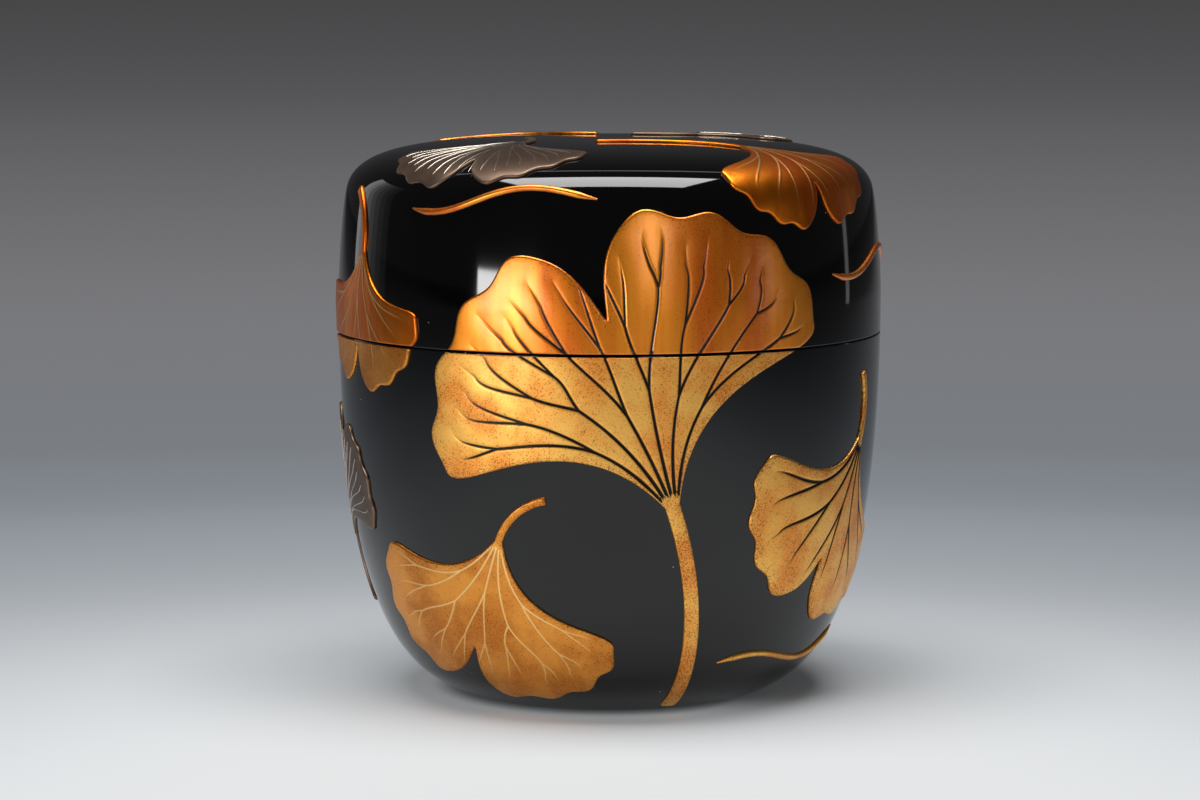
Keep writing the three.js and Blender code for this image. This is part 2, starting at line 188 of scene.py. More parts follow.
# Light
# Studio soft boxes in a dark room: a broad one overhead, two in front, and low narrow ones at the
# sides and behind, which draw the upright streaks and the line along the shoulder.
room_colour = "#3c3c3e"
world = bpy.data.worlds.new("dark_room")
world.use_nodes = True
world.node_tree.nodes["Background"].inputs["Color"].default_value = linear(room_colour)
bpy.context.scene.world = world
soft_boxes = [
    # name, place, point it faces, width, height, radiance
    ("soft_box_over", (-0.015, -0.05, 0.64), (-0.015, -0.05, 0), 0.53, 0.32, 7.5),
    ("soft_box_front_left", (-0.435, -0.483, 0.045), (0, 0, 0.045), 0.30, 0.07, 14.0),
    ("soft_box_front_right", (0.19, -0.622, 0.16), (0, 0, 0.06), 0.11, 0.12, 5.0),
    ("light_bar_behind", (0, 0.34, 0.64), (0, 0, 0.06), 0.95, 0.018, 1.3),
    ("soft_box_right", (0.54, 0.265, 0.12), (0, 0, 0.05), 0.03, 0.24, 0.5),
    ("soft_box_front_side", (0.502, -0.224, 0.055), (0, 0, 0.05), 0.06, 0.07, 2.4),
]
# The low box on the left fades towards the front, so it is made of upright slices, four degrees
# apart as seen from the caddy
slice_distance = 0.6
slice_height = 0.34
slice_degrees = 4
first_slice = -132
slice_width = slice_distance * math.radians(slice_degrees)
for i, radiance in enumerate((0.8, 0.65, 0.38, 0.22, 0.14, 0.08, 0.04)):
    turn = math.radians(first_slice + i * slice_degrees)
    position = (slice_distance * math.sin(turn), -slice_distance * math.cos(turn), slice_height / 2)
    soft_boxes.append(("soft_box_left_slice", position, (0, 0, 0.05), slice_width, slice_height, radiance))
for name, position, target, width, height, radiance in soft_boxes:
    light = bpy.data.lights.new(name, "AREA")
    light.shape = "RECTANGLE"
    light.size = width
    light.size_y = height
    # A lamp's radiance is its power over four times its area
    light.energy = radiance * 4 * width * height
    lamp = new_object(name, light)
    lamp.location = position
    lamp.rotation_euler = (Vector(position) - Vector(target)).to_track_quat("Z", "Y").to_euler()
    lamp.visible_camera = False

# Body
# A cup turned from seasoned wood and coated many times with black lacquer, ground and polished
# to a mirror. Its foot is hollowed a little, and a thin upstand above the ledge holds the lid.
mm = 0.001
widest_radius = 36
foot_radius = 19.8
height = 73.2
seam_height = 47.8
widest_height = seam_height + 5.2
shoulder_radius = widest_radius - 1.34
shoulder_drop = 5.9
shoulder_height = height - shoulder_drop
shoulder_lean = math.radians(20)
rim_wall = 1.5
upstand_wall = 1.3
upstand_top = seam_height + 6
slide_clearance = 0.15
edge_ease = 0.15
body_floor = 4
foot_ring_width = 4.2
foot_recess = 0.8
turned_segments = 288
curve_points = 1200
foot_pull, foot_rise = 0.615, 0.052
belly_pull = 0.28
wall_pull = 0.16
crown_pull, crown_flat = 0.99, 0.644


def cubic(a, b, c, d, count):
    """Points of a cubic curve from a to d, with its handles at b and c."""
    along = np.linspace(0, 1, count)[:, None]
    a, b, c, d = (np.array(point, float) for point in (a, b, c, d))
    back = 1 - along
    return back**3 * a + 3 * back**2 * along * b + 3 * back * along**2 * c + along**3 * d


def reach_along(line):
    """The length from a flat line's start to each of its points."""
    return np.concatenate([[0], np.cumsum(np.hypot(*np.diff(line, axis=0).T))])


def at_reach(line, reach, goals):
    """Points of a flat line at some lengths from its start."""
    return np.stack([np.interp(goals, reach, line[:, axis]) for axis in (0, 1)], axis=-1)


def make_outline():
    """Points and outward normals of the outside, and the share of its length at each."""
    lean = np.array([-math.sin(shoulder_lean), math.cos(shoulder_lean)])
    shoulder = np.array([shoulder_radius, shoulder_height])
    ease = wall_pull * (shoulder_height - widest_height)
    belly = cubic(
        (foot_radius, 0),
        (foot_radius + foot_pull * (widest_radius - foot_radius), foot_rise * widest_height),
        (widest_radius, belly_pull * widest_height), (widest_radius, widest_height), curve_points,
    )
    wall = cubic(
        (widest_radius, widest_height), (widest_radius, widest_height + ease),
        shoulder - ease * lean, shoulder, curve_points // 3,
    )
    crown = cubic(
        shoulder, shoulder + crown_pull * shoulder_drop * lean,
        (crown_flat * shoulder_radius, height), (0, height), curve_points,
    )
    points = np.vstack([belly, wall[1:], crown[1:]])
    reach = reach_along(points)
    ahead = np.gradient(points, reach, axis=0)
    ahead /= np.hypot(*ahead.T)[:, None]
    normals = np.stack([ahead[:, 1], -ahead[:, 0]], axis=1)
    normals[-1] = (0, 1)
    return points, normals, reach / reach[-1], reach[-1]


outline_points, outline_normals, outline_shares, outline_length = make_outline()


def on_outline(share, offset=0):
    """Radius and height on the outside at a share of its length, moved out by an offset."""
    surface = at_reach(outline_points, outline_shares, share)
    return surface + np.asarray(offset)[..., None] * at_reach(outline_normals, outline_shares, share)


def share_at(z):
    """The share of the outline's length at a height."""
    return float(np.interp(z, outline_points[:, 1], outline_shares))


def rounded(points, radius, steps=5, beyond=0.3):
    """A turned outline with its inner corners eased, and a ring close by on either side."""
    points = [np.array(point, float) for point in points]
    out = [points[0]]
    for before, corner, after in zip(points, points[1:], points[2:]):
        back = (before - corner) / np.hypot(*(before - corner))
        onward = (after - corner) / np.hypot(*(after - corner))
        start, end = corner + radius * back, corner + radius * onward
        out.append(start + beyond * radius * back)
        for step in range(steps + 1):
            t = step / steps
            out.append((1 - t) ** 2 * start + 2 * (1 - t) * t * corner + t**2 * end)
        out.append(end + beyond * radius * onward)
    out.append(points[-1])
    return out


def new_tree(name, inputs):
    """A geometry tree with its geometry sockets and its named inputs."""
    tree = bpy.data.node_groups.new(name, "GeometryNodeTree")
    tree.interface.new_socket("Geometry", in_out="INPUT", socket_type="NodeSocketGeometry")
    for label, kind in inputs:
        tree.interface.new_socket(label, in_out="INPUT", socket_type=kind)
    tree.interface.new_socket("Geometry", in_out="OUTPUT", socket_type="NodeSocketGeometry")
    return tree


def close_tree(tree, surface, finish):
    """Ends a geometry tree: what it makes is smooth, real geometry of one material."""
    smooth = add_node(tree, "GeometryNodeSetShadeSmooth", {"Geometry": surface})
    whole = add_node(tree, "GeometryNodeRealizeInstances", {"Geometry": smooth.outputs["Geometry"]})
    coated = add_node(tree, "GeometryNodeSetMaterial", {
        "Geometry": whole.outputs["Geometry"], "Material": finish,
    })
    add_node(tree, "NodeGroupOutput", {"Geometry": coated.outputs["Geometry"]})


def chain_edges(count, start=0):
    """The edges of an open chain of vertices."""
    return [(start + i, start + i + 1) for i in range(count - 1)]


def grown(name, vertices, edges, tree, values):
    """A plain object, made by running a tree on a bare path of vertices and edges."""
    path = bpy.data.meshes.new(name + "_path")
    path.from_pydata([tuple(v) for v in vertices], edges, [])
    piece = new_object(name, path)
    modifier = piece.modifiers.new(tree.name, "NODES")
    modifier.node_group = tree
    for label, value in values.items():
        modifier[tree.interface.items_tree[label].identifier] = value
    evaluated = piece.evaluated_get(bpy.context.evaluated_depsgraph_get())
    shaped = bpy.data.meshes.new_from_object(evaluated)
    shaped.name = name
    piece.modifiers.remove(modifier)
    piece.data = shaped
    bpy.data.meshes.remove(path)
    return piece


# A profile carried once round the turning axis; the path of it is a circle too small to see
turning_tree = new_tree("turned_on_a_lathe", [
    ("Segments", "NodeSocketInt"), ("Finish", "NodeSocketMaterial"),
])
given = add_node(turning_tree, "NodeGroupInput")
axis_radius = 1e-6
weld_distance = 5e-6
profile = add_node(turning_tree, "GeometryNodeMeshToCurve", {"Mesh": given.outputs["Geometry"]})
axis = add_node(turning_tree, "GeometryNodeCurvePrimitiveCircle", {
    "Resolution": given.outputs["Segments"], "Radius": axis_radius,
}, mode="RADIUS")
swept = add_node(turning_tree, "GeometryNodeCurveToMesh", {
    "Curve": axis.outputs["Curve"], "Profile Curve": profile.outputs["Curve"],
})
welded = add_node(turning_tree, "GeometryNodeMergeByDistance", {
    "Geometry": swept.outputs["Mesh"], "Distance": weld_distance,
})
close_tree(turning_tree, welded.outputs["Geometry"], given.outputs["Finish"])


def turned(name, section, finish):
    """A shell turned about Z from its half section, given from the foot up and round."""
    vertices = [(r * mm, -z * mm, 0) for r, z in reversed(section)]
    return grown(name, vertices, chain_edges(len(vertices)), turning_tree, {
        "Segments": turned_segments, "Finish": finish,
    })


# Roiro urushi: black lacquer rubbed with charcoal and powder to a mirror. It is nearly black in
# itself, so the eye gets its reflections, a trace of unevenness in them and a few motes of dust.
lacquer, tree, place = new_material("roiro_lacquer")
ripple_size, ripple_depth = 5 * mm, 0.0012 * mm
haze_size = 14 * mm
mote_spacing, mote_share, mote_dullness = 4.5 * mm, 0.012, 0.7
finest_polish, coarsest_polish = 0.035, 0.075
clouds = add_node(tree, "ShaderNodeTexNoise", {"Vector": place, "Scale": 1 / haze_size, "Detail": 3})
black = add_node(tree, "ShaderNodeMix", {
    0: clouds.outputs["Fac"], 6: linear("#020202"), 7: linear("#070606"),
}, data_type="RGBA")
motes = add_node(tree, "ShaderNodeTexVoronoi", {"Vector": place, "Scale": 1 / mote_spacing})
mote = add_node(tree, "ShaderNodeMapRange", {
    "Value": motes.outputs["Distance"], "From Min": mote_share, "From Max": 2 * mote_share,
    "To Min": 1, "To Max": 0,
})
dusted = add_node(tree, "ShaderNodeMix", {
    0: mote.outputs["Result"], 6: black.outputs[2], 7: linear("#b9b7b2"),
}, data_type="RGBA")
polish = add_node(tree, "ShaderNodeMapRange", {
    "Value": clouds.outputs["Fac"], "From Min": 0.3, "From Max": 0.7,
    "To Min": finest_polish, "To Max": coarsest_polish,
})
polish_or_mote = add_node(tree, "ShaderNodeMix", {
    0: mote.outputs["Result"], 2: polish.outputs["Result"], 3: mote_dullness,
}, data_type="FLOAT")
ripple = add_node(tree, "ShaderNodeTexNoise", {"Vector": place, "Scale": 1 / ripple_size, "Detail": 2})
uneven = add_node(tree, "ShaderNodeBump", {"Height": ripple.outputs["Fac"], "Distance": ripple_depth})
surface = add_node(tree, "ShaderNodeBsdfPrincipled", {
    "Base Color": dusted.outputs[2], "Roughness": polish_or_mote.outputs[0], "IOR": 1.5,
    "Normal": uneven.outputs["Normal"],
})
add_node(tree, "ShaderNodeOutputMaterial", {"Surface": surface.outputs[0]})

# Half section of the body, in millimetres, from the middle of the foot up, over the mouth and
# down to the middle of the floor inside
seam_radius = on_outline(share_at(seam_height))[0]
skirt_radius = seam_radius - rim_wall
upstand_radius = skirt_radius - slide_clearance
mouth_radius = upstand_radius - upstand_wall
foot_ring_radius = foot_radius - foot_ring_width
wall_rings = 90
lining_rings = 50
foot_edge_width = 1
foot_edge_share, wall_start_share = 0.012, 0.015
ring_ease, foot_ease = 0.25, 0.3
body_top_share = share_at(seam_height - 2 * edge_ease)
foot_section = rounded([
    (0, foot_recess), (foot_ring_radius, foot_recess), (foot_ring_radius + foot_recess, 0),
    (foot_radius - foot_edge_width, 0),
], ring_ease)
foot_edge = rounded([
    (foot_radius - foot_edge_width, 0), (foot_radius, 0), on_outline(foot_edge_share),
], foot_ease)
body_wall = [on_outline(share) for share in np.linspace(wall_start_share, body_top_share, wall_rings)]
mouth_section = rounded([
    body_wall[-1], (seam_radius, seam_height), (upstand_radius, seam_height),
    (upstand_radius, upstand_top), (mouth_radius, upstand_top), (mouth_radius, seam_height + 1),
], edge_ease)
mouth_wall = seam_radius - mouth_radius
body_lining = [
    on_outline(share, -(body_floor + (mouth_wall - body_floor) * share / body_top_share))
    for share in np.linspace(body_top_share, 0, lining_rings)
]
body_section = [
    *foot_section, *foot_edge[1:-1], *body_wall, *mouth_section[1:], *body_lining, (0, body_floor),
]
body = turned("turned_body", body_section, lacquer)
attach(body, "body")
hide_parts("body")

# Lid
# A cap turned and lacquered like the body. Inside its skirt a rebate clears the upstand, so the
# lid slides down over it and its outside meets the body's flush, with a hair's breadth between.
seam_gap = 0.1
rebate_clearance = 0.4
lid_wall_width = 3
rim_height = seam_height + seam_gap
rebate_top = upstand_top + rebate_clearance
lid_low_share = share_at(rim_height + 2 * edge_ease)
lid_lining = [
    on_outline(share, -lid_wall_width) for share in np.linspace(1, share_at(rebate_top), lining_rings)
]
lid_lining[0][0] = 0
lid_wall = [on_outline(share) for share in np.linspace(lid_low_share, 1, wall_rings + lining_rings)]
lid_wall[-1][0] = 0
skirt_section = rounded([
    lid_lining[-1], (lid_lining[-1][0], rebate_top), (skirt_radius, rebate_top),
    (skirt_radius, rim_height), (seam_radius, rim_height), lid_wall[0],
], edge_ease)
lid_section = [*lid_lining, *skirt_section[1:-1], *lid_wall]
lid = turned("turned_lid", lid_section, lacquer)
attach(lid, "lid")
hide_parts("lid")

# Raised leaves
# Ginkgo fans built up on the black in layers of lacquer and charcoal powder, then strewn with
# gold or pewter-coloured metal powder and rubbed down. Veins are cut into some of them and
# raised on others.

# The relief in millimetres: face, rim and cut ends, then what swells, grooves and ridges add
face_height = 0.29
rim_rise = 0.1
rim_round = 0.3
cut_round, cut_drop = 0.12, 0.25
under_depth = 0.05
swell_height, swell_reach = 0.07, 1.2
pillow_height, pillow_reach = 0.11, 3
groove_depth, groove_width = 0.17, 0.19
lip_height, lip_width, lip_offset = 0.02, 0.12, 0.38
ridge_height, ridge_width = 0.07, 0.14
line_fade, mark_fade = 0.6, 0.4
least_strength = 0.05

# The fan's form, its lengths as shares of its size
fan_half = math.radians(63)
margin_steps, margin_points = 28, 900
notch_crowding = 1.6
notch_depth, notch_width, notch_sharpness = 0.34, 0.07, 1.3
wave_height, wave_count = 0.016, 9
corner_drop = 0.17
corner_handle, joint_handle = 0.13, 0.5
joint_rise = math.radians(24)


def fan_edge(size, place):
    """The edge of the fan at places from -1 to 1, closer together towards the notch."""
    across = np.sign(place) * np.abs(place) ** notch_crowding
    notch = notch_depth * np.exp(-(np.abs(across / notch_width) ** notch_sharpness))
    wave = wave_height * np.cos(wave_count * math.pi * across)
    reach = size * (1 - notch - corner_drop * np.abs(across) ** 3 + wave)
    return np.stack([reach * np.sin(fan_half * across), reach * np.cos(fan_half * across)], axis=-1)


def fan_side(size, side, joint_width, count=120):
    """One side of the fan from its corner to the joint of the stalk."""
    corner = fan_edge(size, float(side))
    onward = corner - fan_edge(size, side * (1 - 1 / margin_steps))
    onward *= corner_handle * size / np.hypot(*onward)
    joint = np.array([side * joint_width / 2, 0])
    upward = np.array([side * math.sin(joint_rise), math.cos(joint_rise)])
    handle = joint_handle * size * upward + joint
    return cubic(corner, corner + onward, handle, joint, count)


def stalk_side(side, width, length, bend, count=80):
    """One side of the stalk, an arc that hangs from the joint."""
    turn = math.radians(bend) * np.linspace(0, 1, count)[1:]
    middle = length / math.radians(bend) * np.stack([1 - np.cos(turn), -np.sin(turn)], axis=-1)
    return middle + side * width / 2 * np.stack([np.cos(turn), np.sin(turn)], axis=-1)


def leaf_outline(leaf):
    """The flat outline of a fan with its stalk, the joint of the two at the origin."""
    size, width, stalk, bend = leaf["size"], leaf["width"], leaf["stalk"], leaf["bend"]
    return np.vstack([
        fan_edge(size, np.linspace(-1, 1, margin_points)),
        fan_side(size, 1, width)[1:],
        stalk_side(1, width, stalk, bend),
        stalk_side(-1, width, stalk, bend)[::-1],
        fan_side(size, -1, width)[:0:-1],
    ])


def turn_flat(points, degrees):
    """Flat points turned clockwise."""
    turn = math.radians(degrees)
    x, y = points[..., 0], points[..., 1]
    return np.stack([
        x * math.cos(turn) + y * math.sin(turn), y * math.cos(turn) - x * math.sin(turn),
    ], axis=-1)


def cut_off(points, level, keep):
    """The part of a closed flat outline above (keep 1) or below (keep -1) a level."""
    out = []
    for a, b in zip(points, np.roll(points, -1, axis=0)):
        inside_a, inside_b = keep * (a[1] - level) > 0, keep * (b[1] - level) > 0
        if inside_a:
            out.append(a)
        if inside_a != inside_b:
            crossing = a + (b - a) * (level - a[1]) / (b[1] - a[1])
            out.append(np.array([crossing[0], level]))
    return np.array(out)


def spaced(points, step):
    """An open flat line with even steps."""
    reach = reach_along(points)
    goals = np.linspace(0, reach[-1], max(2, round(reach[-1] / step) + 1))
    return at_reach(points, reach, goals)


def spaced_loop(points, step, corner_turn=math.radians(28), least_side=1e-6):
    """A closed flat outline with even steps, its corners kept."""
    keep = np.hypot(*(points - np.roll(points, 1, axis=0)).T) > least_side
    points = points[keep]
    before = points - np.roll(points, 1, axis=0)
    ahead = np.roll(points, -1, axis=0) - points
    cross = before[:, 0] * ahead[:, 1] - before[:, 1] * ahead[:, 0]
    turning = np.abs(np.arctan2(cross, (before * ahead).sum(axis=1)))
    corners = list(np.flatnonzero(turning > corner_turn))
    ends = corners[1:] + [corners[0] + len(points)]
    looped = np.vstack([points, points])
    return np.vstack([
        spaced(looped[start:end + 1], step)[:-1] for start, end in zip(corners, ends)
    ])


def tree_of(points):
    """A search tree of flat points."""
    found = kdtree.KDTree(len(points))
    for i, (x, y) in enumerate(points):
        found.insert((x, y, 0), i)
    found.balance()
    return found


def nearest(found, points):
    """Distance and index of each flat point's nearest in a search tree."""
    hits = [found.find((x, y, 0)) for x, y in points]
    return np.array([hit[2] for hit in hits]), np.array([hit[1] for hit in hits])


def inside(points, loop):
    """Whether flat points lie inside a closed outline."""
    within = np.zeros(len(points), bool)
    x, y = points[:, 0], points[:, 1]
    for (ax, ay), (bx, by) in zip(loop, np.roll(loop, -1, axis=0)):
        if ay != by:
            crosses = (ay > y) != (by > y)
            within ^= crosses & (x < ax + (bx - ax) * (y - ay) / (by - ay))
    return within


# Veins run from the joint towards the edge: places across go from -1 to 1, and ends are shares
# of the way to the edge. Each range is for a random draw.
run_points = 60
vein_start, outer_vein = 0.05, 0.8
notch_reach, notch_tip = 0.16, 0.98
last_run, run_fade = 0.85, 0.2
stem_strength, branch_strength, twig_strength = 1, 0.85, 0.65
stem_end, branch_end, twig_end = (0.3, 0.5), (0.6, 0.76), (0.87, 0.94)
unforked_end = (0.86, 0.93)
branch_spread, twig_spread = (0.45, 0.6), (0.2, 0.3)


def vein_lines(leaf, rng):
    """Veins as flat lines with their strength: they leave the joint, fan out and fork."""
    size = leaf["size"]
    side = fan_side(size, 1, leaf["width"])[::-1]
    side_reach = np.maximum.accumulate(np.hypot(*side.T))
    side_angle = np.arctan2(side[:, 0], side[:, 1])
    side_angle[0] = side_angle[1]
    lines = []

    def run(start_share, end_share, start_place, end_place, strength):
        """Adds a vein between two shares of the way to the edge and two places across."""
        along = np.linspace(0, 1, run_points)
        place = start_place + (end_place - start_place) * np.sin(along * math.pi / 2)
        tip = np.hypot(*fan_edge(size, np.sign(place) * np.abs(place) ** (1 / notch_crowding)).T)
        tip = np.where(np.abs(place) < notch_reach, size * notch_tip, tip)
        reach = tip * (start_share + (end_share - start_share) * along)
        angle = place * np.interp(reach, side_reach, side_angle)
        fade = strength * (1 - along**3 if end_share > last_run else 1 - run_fade * along)
        lines.append((np.stack([reach * np.sin(angle), reach * np.cos(angle)], axis=-1), fade))

    count = leaf["veins"]
    spread = outer_vein / (count - 1)
    for i in range(count):
        place = -outer_vein + 2 * outer_vein * i / (count - 1)
        fork = rng.uniform(*stem_end)
        run(vein_start, fork, place, place, stem_strength)
        for way in (-1, 1):
            branch = place + way * spread * rng.uniform(*branch_spread)
            if leaf["forks"] == 1:
                run(fork, rng.uniform(*unforked_end), place, branch, branch_strength)
                continue
            second = rng.uniform(*branch_end)
            run(fork, second, place, branch, branch_strength)
            for turn in (-1, 1):
                tip = rng.uniform(*twig_end)
                twig = branch + turn * spread * rng.uniform(*twig_spread)
                run(second, tip, branch, twig, twig_strength)
    return lines


def vein_samples(lines):
    """Close points along all the veins of a leaf, and the strength at each."""
    points, strengths = [], []
    for line, strength in lines:
        reach = reach_along(line)
        goals = np.linspace(0, reach[-1], max(3, int(reach[-1] / vein_search_step)))
        points.append(at_reach(line, reach, goals))
        strengths.append(np.interp(goals, reach, strength))
    return np.vstack(points), np.concatenate(strengths)


def leaf_height(leaf, edge, cut, vein, strength):
    """The face's height over the lacquer and its vein mark, by distance to rim, cut and vein."""
    def shoulder(distance, radius):
        """A quarter round that reaches 1 at the radius."""
        return np.sqrt(np.clip(1 - (1 - np.clip(distance / radius, 0, 1)) ** 2, 0, 1))

    swell = swell_height * (1 - np.exp(-vein / swell_reach))
    pillow = pillow_height * (1 - np.exp(-edge / pillow_reach))
    narrowed = groove_width * np.sqrt(np.maximum(strength, least_strength))
    groove = np.exp(-((vein / narrowed) ** 2)) * strength
    lip = np.exp(-(((vein - lip_offset) / lip_width) ** 2)) * strength
    ridge = np.exp(-((vein / ridge_width) ** 2)) * strength
    if leaf["cut_veins"]:
        line, mark = lip_height * lip - groove_depth * groove, groove
    else:
        line, mark = ridge_height * ridge, -ridge
    face = face_height + (swell + pillow) + line * np.clip(edge / line_fade, 0, 1) - rim_rise
    at_cut = (1 - cut_drop) + cut_drop * shoulder(cut, cut_round)
    height = rim_rise + face * shoulder(edge, rim_round) * at_cut
    return height, mark * np.clip(edge / mark_fade, 0, 1)


def round_axis(section, angle):
    """Points of a half section turned to angles from the front, in metres."""
    radius, height = section[:, 0], section[:, 1]
    return np.stack([radius * np.sin(angle), -radius * np.cos(angle), height], axis=-1) * mm


def to_wall(leaf, turned_points, height):
    """Flat points, already turned, laid on the wall at a height over the lacquer."""
    share = leaf["rise"] + turned_points[:, 1] / outline_length
    angle = math.radians(leaf["turn"]) + turned_points[:, 0] / on_outline(share)[:, 0]
    return round_axis(on_outline(share, height), angle)


def to_crown(leaf, turned_points, height):
    """Flat points, already turned, spread out over the crown from its middle."""
    reach = (1 - leaf["rise"]) * outline_length
    turn = math.radians(leaf["turn"])
    moved = turned_points + np.array([reach * math.sin(turn), -reach * math.cos(turn)])
    share = 1 - np.hypot(*moved.T) / outline_length
    return round_axis(on_outline(share, height), np.arctan2(moved[:, 0], -moved[:, 1]))


def offset_rows(line, ahead, offsets, found, least_share=0.85):
    """Rows of points to the left of a line, without those that lie closer to another stretch."""
    ahead = ahead / np.maximum(np.hypot(*ahead.T), 1e-9)[:, None]
    left = np.stack([-ahead[:, 1], ahead[:, 0]], axis=-1)
    rows = []
    for offset in offsets:
        row = line + offset * left
        distance, _ = nearest(found, row)
        rows.append(row[distance > least_share * abs(offset)])
    return np.vstack(rows)


def triangles_within(points, edges, loop):
    """Triangles between flat points that keep the given edges and lie inside a closed outline."""
    all_triangles, least_gap, with_sources = 0, 1e-4, True
    found, _, faces, sources, _, _ = geometry.delaunay_2d_cdt(
        [Vector(p) for p in points], edges, [], all_triangles, least_gap, with_sources,
    )
    flat = np.array([(v.x, v.y) for v in found])
    within = inside(flat[np.array(faces)].mean(axis=1), loop)
    return flat, [face for face, kept in zip(faces, within) if kept], sources


# How close the points of a leaf's mesh lie, and how far they keep from its rim and veins
outline_step, vein_step = 0.26, 0.24
lattice_step, under_step = 0.62, 2.2
rim_search_step, vein_search_step = 0.05, 0.06
rim_rows = (0.05, 0.13, 0.22, 0.34)
vein_rows = (-0.5, -0.3, -0.18, -0.09, 0.09, 0.18, 0.3, 0.5)
vein_margin, row_margin = 0.3, 0.42
lattice_margin, lattice_vein_margin = 0.55, 0.66
on_rim = 0.03
no_cut = 9.0
rim_reach = 0.6

# Where leaves are cut: just above the foot, and at the seam on either shell
lowest_share = share_at(1.4)
body_edge_share = share_at(seam_height - edge_ease)
lid_edge_share = share_at(rim_height + edge_ease)


def cut_to_shell(leaf, shell, flat):
    """What of a leaf's flat outline lies on one shell, and the levels where it is cut."""
    cuts = []
    if leaf["place"] is to_wall:
        ranges = {"body": (lowest_share, body_edge_share), "lid": (lid_edge_share, 1)}
        for share, keep in zip(ranges[shell], (1, -1)):
            level = outline_length * (share - leaf["rise"])
            if (keep * (flat[:, 1] - level)).min() < 0:
                flat = cut_off(flat, level, keep)
                cuts.append(level)
    return flat, cuts


def kept_runs(points, kept):
    """The stretches of a line whose points are kept, each of three points or more."""
    ends = np.flatnonzero(np.diff(kept)) + 1
    stretches = zip(np.split(points, ends), np.split(kept, ends))
    return [stretch for stretch, keep in stretches if keep[0] and len(stretch) > 2]


def lattice(loop, step):
    """Evenly spread flat points inside a closed outline."""
    low, high = loop.min(axis=0), loop.max(axis=0)
    grid = np.array([
        (x, y) for j, y in enumerate(np.arange(low[1], high[1], step * math.sqrt(3) / 2))
        for x in np.arange(low[0] + (j % 2) * step / 2, high[0], step)
    ])
    return grid[inside(grid, loop)]


def ring_edges(count):
    """The edges of a closed ring of vertices."""
    return [(i, (i + 1) % count) for i in range(count)]


def face_of(loop, lines, edge_found, vein_found):
    """A leaf's face as flat points and triangles: rim, veins, rows beside both and a lattice."""
    # The outline runs clockwise, so its inside is on the left when it is followed backwards
    backwards = np.roll(loop, 1, axis=0) - np.roll(loop, -1, axis=0)
    points = [loop, offset_rows(loop, backwards, rim_rows, edge_found)]
    edges = ring_edges(len(loop))
    count = sum(len(part) for part in points)
    chains = []
    for line, _ in lines:
        even = spaced(line, vein_step)
        chains += kept_runs(even, inside(even, loop) & (nearest(edge_found, even)[0] > vein_margin))
    for chain in chains:
        edges += chain_edges(len(chain), count)
        count += len(chain)
        points.append(chain)
    for chain in chains:
        beside = offset_rows(chain, np.gradient(chain, axis=0), vein_rows, vein_found)
        beside = beside[inside(beside, loop)]
        points.append(beside[nearest(edge_found, beside)[0] > row_margin])
    grid = lattice(loop, lattice_step)
    off_rim = nearest(edge_found, grid)[0] > lattice_margin
    points.append(grid[off_rim & (nearest(vein_found, grid)[0] > lattice_vein_margin)])
    flat, faces, _ = triangles_within(np.vstack(points), edges, loop)
    return flat, faces


def outer_ring(faces):
    """The vertices round the open edge of a sheet of faces, in their order."""
    sides = {(a, b) for face in faces for a, b in zip(face, face[1:] + face[:1])}
    follow = {a: b for a, b in sides if (b, a) not in sides}
    ring = [min(follow)]
    while follow[ring[-1]] != ring[0]:
        ring.append(follow[ring[-1]])
    return ring


def underside_of(loop, ring_points, edge_found):
    """Coarse flat points and triangles within a ring, and the new number of each ring point."""
    grid = lattice(loop, under_step)
    grid = grid[nearest(edge_found, grid)[0] > under_step / 2]
    flat, faces, origins = triangles_within(
        np.vstack([ring_points, grid]), ring_edges(len(ring_points)), ring_points,
    )
    return flat, faces, {source: i for i, sources in enumerate(origins) for source in sources}


